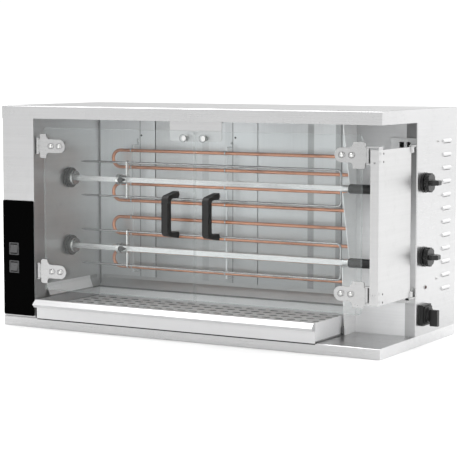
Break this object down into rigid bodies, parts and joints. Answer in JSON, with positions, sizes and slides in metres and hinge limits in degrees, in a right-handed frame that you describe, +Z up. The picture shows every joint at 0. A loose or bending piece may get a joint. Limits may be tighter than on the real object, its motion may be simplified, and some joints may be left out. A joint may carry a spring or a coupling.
{
  "type": "electric skewer grill",
  "caption": "Table-top electric skewer grill with glass doors, motor-driven fork spits, tubular heaters on the back wall and a drip drawer.",
  "frame": {"origin": "centre of the cabinet's base, on the surface it stands on", "axes": "+X to the viewer's right along the width, +Y from the doors to the rear panel, +Z up"},
  "size_m": [1.0375, 0.466, 0.53],
  "materials": {
    "cabinet_steel": "satin stainless sheet",
    "bright_steel": "bright satin stainless",
    "dark_steel": "plain zinc-plated steel",
    "black_plastic": "fine-grained black moulding",
    "black_glass": "glossy black panel",
    "door_glass": "clear toughened glass",
    "heater_tube": "copper-coloured heater tube",
    "brass": "turned brass",
    "motor_paint": "dark painted casting",
    "pale_plastic": "heat-resistant pale moulding"
  },
  "bodies": {
    "cabinet": {"base_pan": "cabinet_steel", "base_cover": "dark_steel", "top_cap": "cabinet_steel", "cavity_roof": "cabinet_steel", "left_cover": "cabinet_steel", "left_cavity_wall": "cabinet_steel", "right_cover": "bright_steel", "right_cavity_wall": "cabinet_steel", "rear_panel": "cabinet_steel", "cavity_back": "cabinet_steel", "control_panel": "black_glass", "switch_bodies": "black_plastic", "gearmotors": "motor_paint", "shaft_bushes": "brass", "heating_elements": "heater_tube", "element_supports": "cabinet_steel", "element_nuts": "brass", "tray_runners": "dark_steel", "drip_deflectors": "cabinet_steel", "hinge_brackets_left": "bright_steel", "catch_plate": "bright_steel", "guard_hinges": "cabinet_steel", "main_switch_base": "black_plastic", "regulators": "pale_plastic", "pilot_lamp": "black_plastic", "terminal_block": "pale_plastic", "cable_gland": "black_plastic", "housing_screws": "dark_steel"},
    "tray": {"drip_tray": "bright_steel", "drawer_front": "bright_steel"},
    "insert": {"tray_insert": "cabinet_steel"},
    "rocker_upper": {"rocker_upper": "black_plastic"},
    "rocker_lower": {"rocker_lower": "black_plastic"},
    "drive_upper": {"drive_coupling_upper": "bright_steel", "drive_disc_upper": "black_plastic"},
    "drive_lower": {"drive_coupling_lower": "bright_steel", "drive_disc_lower": "black_plastic"},
    "spit_upper": {"spit_upper": "bright_steel", "fork_upper": "bright_steel", "spit_grip_upper": "black_plastic"},
    "spit_lower": {"spit_lower": "bright_steel", "fork_lower": "bright_steel", "spit_grip_lower": "black_plastic"},
    "slider_upper": {"fork_slider_upper": "bright_steel"},
    "slider_lower": {"fork_slider_lower": "bright_steel"},
    "screw_upper": {"thumb_screw_upper": "dark_steel"},
    "screw_lower": {"thumb_screw_lower": "dark_steel"},
    "door_left": {"glass_left": "door_glass", "hinge_plates_left": "bright_steel", "door_bolts_left": "bright_steel", "handle_left": "black_plastic"},
    "guard": {"side_guard": "bright_steel", "hinge_brackets_right": "bright_steel"},
    "door_right": {"glass_right": "door_glass", "hinge_plates_right": "bright_steel", "door_bolts_right": "bright_steel", "handle_right": "black_plastic"},
    "knob_upper": {"knob_upper": "black_plastic"},
    "knob_lower": {"knob_lower": "black_plastic"},
    "main_switch": {"main_switch_grip": "black_plastic"}
  },
  "joints": [
    {"name": "tray_slide", "type": "slide", "parent": "cabinet", "child": "tray", "axis": [0, -1, 0], "range_m": [0, 0.24]},
    {"name": "insert_lift", "type": "slide", "parent": "tray", "child": "insert", "axis": [0, 0, 1], "range_m": [0, 0.015]},
    {"name": "door_left_swing", "type": "hinge", "parent": "cabinet", "child": "door_left", "pos_m": [-0.403, -0.19425, 0.285], "axis": [0, 0, 1], "range_deg": [-100, 0]},
    {"name": "guard_swing", "type": "hinge", "parent": "cabinet", "child": "guard", "pos_m": [0.49225, -0.034, 0.281], "axis": [0, 0, 1], "range_deg": [0, 90]},
    {"name": "door_right_swing", "type": "hinge", "parent": "guard", "child": "door_right", "pos_m": [0.463, -0.19425, 0.285], "axis": [0, 0, 1], "range_deg": [0, 100]},
    {"name": "drive_upper_turn", "type": "hinge", "parent": "cabinet", "child": "drive_upper", "pos_m": [-0.4, -0.061, 0.352], "axis": [1, 0, 0], "continuous": true},
    {"name": "spit_upper_withdraw", "type": "slide", "parent": "drive_upper", "child": "spit_upper", "axis": [1, 0, 0], "range_m": [0, 0.012]},
    {"name": "slider_upper_slide", "type": "slide", "parent": "spit_upper", "child": "slider_upper", "axis": [1, 0, 0], "range_m": [-0.115, 0.54]},
    {"name": "screw_upper_turn", "type": "hinge", "parent": "slider_upper", "child": "screw_upper", "pos_m": [-0.246, -0.075, 0.352], "axis": [0, 1, 0], "continuous": true},
    {"name": "knob_upper_turn", "type": "hinge", "parent": "cabinet", "child": "knob_upper", "pos_m": [0.5, 0.022, 0.366], "axis": [1, 0, 0], "range_deg": [-270, 0]},
    {"name": "drive_lower_turn", "type": "hinge", "parent": "cabinet", "child": "drive_lower", "pos_m": [-0.4, -0.061, 0.186], "axis": [1, 0, 0], "continuous": true},
    {"name": "spit_lower_withdraw", "type": "slide", "parent": "drive_lower", "child": "spit_lower", "axis": [1, 0, 0], "range_m": [0, 0.012]},
    {"name": "slider_lower_slide", "type": "slide", "parent": "spit_lower", "child": "slider_lower", "axis": [1, 0, 0], "range_m": [-0.115, 0.54]},
    {"name": "screw_lower_turn", "type": "hinge", "parent": "slider_lower", "child": "screw_lower", "pos_m": [-0.246, -0.075, 0.186], "axis": [0, 1, 0], "continuous": true},
    {"name": "knob_lower_turn", "type": "hinge", "parent": "cabinet", "child": "knob_lower", "pos_m": [0.5, 0.022, 0.2], "axis": [1, 0, 0], "range_deg": [-270, 0]},
    {"name": "rocker_upper_tilt", "type": "hinge", "parent": "cabinet", "child": "rocker_upper", "pos_m": [-0.467, -0.201, 0.1868], "axis": [1, 0, 0], "range_deg": [0, 14]},
    {"name": "rocker_lower_tilt", "type": "hinge", "parent": "cabinet", "child": "rocker_lower", "pos_m": [-0.467, -0.201, 0.1435], "axis": [1, 0, 0], "range_deg": [0, 14]},
    {"name": "main_switch_turn", "type": "hinge", "parent": "cabinet", "child": "main_switch", "pos_m": [0.5, 0.019, 0.07], "axis": [1, 0, 0], "range_deg": [-90, 0]}
  ]
}
